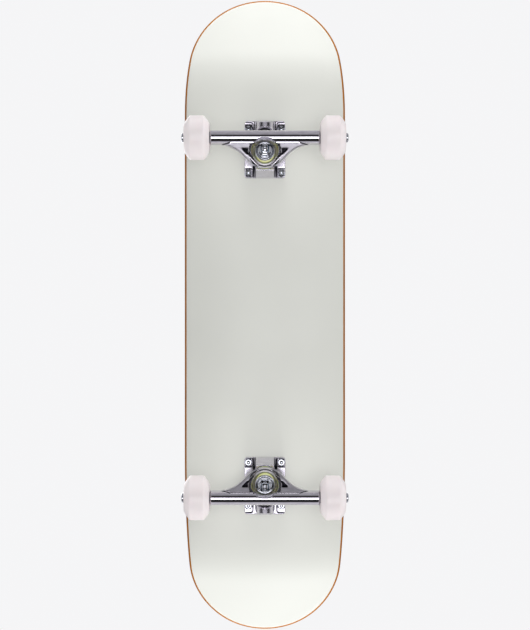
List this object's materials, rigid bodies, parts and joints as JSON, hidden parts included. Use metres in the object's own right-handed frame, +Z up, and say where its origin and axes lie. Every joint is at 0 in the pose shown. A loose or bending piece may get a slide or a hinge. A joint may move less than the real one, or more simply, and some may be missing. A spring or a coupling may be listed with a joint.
{
  "type": "skateboard",
  "caption": "Street skateboard on its wheels: concave double-kick wooden deck with grip tape, steering trucks on urethane bushings, bearing wheels",
  "frame": {"origin": "on the ground under the middle of the deck's length and width", "axes": "+X towards the nose, +Y across the board to its left, +Z up; the board stands on its wheels"},
  "size_m": [0.812, 0.2032, 0.1347],
  "materials": {
    "painted_maple": "gloss paint under, wood edge",
    "grip_tape": "gritty",
    "cast_aluminium": "polished",
    "zinc_steel": "zinc plated",
    "bolt_steel": "black oxide and zinc",
    "axle_steel": "turned",
    "bearing_steel": "ground",
    "bushing_urethane": "translucent cast",
    "pivot_urethane": "satin",
    "wheel_urethane": "satin cast"
  },
  "bodies": {
    "board": {"deck": "painted_maple", "grip_tape": "grip_tape", "front_baseplate": "cast_aluminium", "front_pivot_cup": "pivot_urethane", "front_kingpin": "zinc_steel", "front_kingpin_nut": "zinc_steel", "front_board_side_washer": "zinc_steel", "front_board_side_bushing": "bushing_urethane", "front_road_side_bushing": "bushing_urethane", "front_road_side_washer": "zinc_steel", "front_mounting_bolts": "bolt_steel", "front_mounting_nuts": "bolt_steel", "rear_baseplate": "cast_aluminium", "rear_pivot_cup": "pivot_urethane", "rear_kingpin": "zinc_steel", "rear_kingpin_nut": "zinc_steel", "rear_board_side_washer": "zinc_steel", "rear_board_side_bushing": "bushing_urethane", "rear_road_side_bushing": "bushing_urethane", "rear_road_side_washer": "zinc_steel", "rear_mounting_bolts": "bolt_steel", "rear_mounting_nuts": "bolt_steel"},
    "front_hanger_assembly": {"front_hanger": "cast_aluminium", "front_axle": "axle_steel", "front_bearing_inner_races": "bearing_steel", "front_speed_washers": "zinc_steel", "front_axle_nuts": "zinc_steel"},
    "rear_hanger_assembly": {"rear_hanger": "cast_aluminium", "rear_axle": "axle_steel", "rear_bearing_inner_races": "bearing_steel", "rear_speed_washers": "zinc_steel", "rear_axle_nuts": "zinc_steel"},
    "front_left_wheel_assembly": {"front_left_wheel": "wheel_urethane", "front_left_bearing_outer_races": "bearing_steel"},
    "front_right_wheel_assembly": {"front_right_wheel": "wheel_urethane", "front_right_bearing_outer_races": "bearing_steel"},
    "rear_left_wheel_assembly": {"rear_left_wheel": "wheel_urethane", "rear_left_bearing_outer_races": "bearing_steel"},
    "rear_right_wheel_assembly": {"rear_right_wheel": "wheel_urethane", "rear_right_bearing_outer_races": "bearing_steel"}
  },
  "joints": [
    {"name": "front_truck_steer", "type": "hinge", "parent": "board", "child": "front_hanger_assembly", "pos_m": [0.19518, 0, 0.03687], "axis": [0.8141, 0, 0.5807], "range_deg": [-12, 12], "stiffness_Nm_per_rad": 60, "deforming": ["front_board_side_bushing", "front_road_side_bushing"]},
    {"name": "front_left_wheel_spin", "type": "hinge", "parent": "front_hanger_assembly", "child": "front_left_wheel_assembly", "pos_m": [0.21449, 0.0825, 0.027], "axis": [0, 1, 0], "continuous": true},
    {"name": "front_right_wheel_spin", "type": "hinge", "parent": "front_hanger_assembly", "child": "front_right_wheel_assembly", "pos_m": [0.21449, -0.0825, 0.027], "axis": [0, 1, 0], "continuous": true},
    {"name": "rear_truck_steer", "type": "hinge", "parent": "board", "child": "rear_hanger_assembly", "pos_m": [-0.20358, 0, 0.03687], "axis": [-0.8141, 0, 0.5807], "range_deg": [-12, 12], "stiffness_Nm_per_rad": 60, "deforming": ["rear_board_side_bushing", "rear_road_side_bushing"]},
    {"name": "rear_left_wheel_spin", "type": "hinge", "parent": "rear_hanger_assembly", "child": "rear_left_wheel_assembly", "pos_m": [-0.22289, 0.0825, 0.027], "axis": [0, 1, 0], "continuous": true},
    {"name": "rear_right_wheel_spin", "type": "hinge", "parent": "rear_hanger_assembly", "child": "rear_right_wheel_assembly", "pos_m": [-0.22289, -0.0825, 0.027], "axis": [0, 1, 0], "continuous": true}
  ]
}
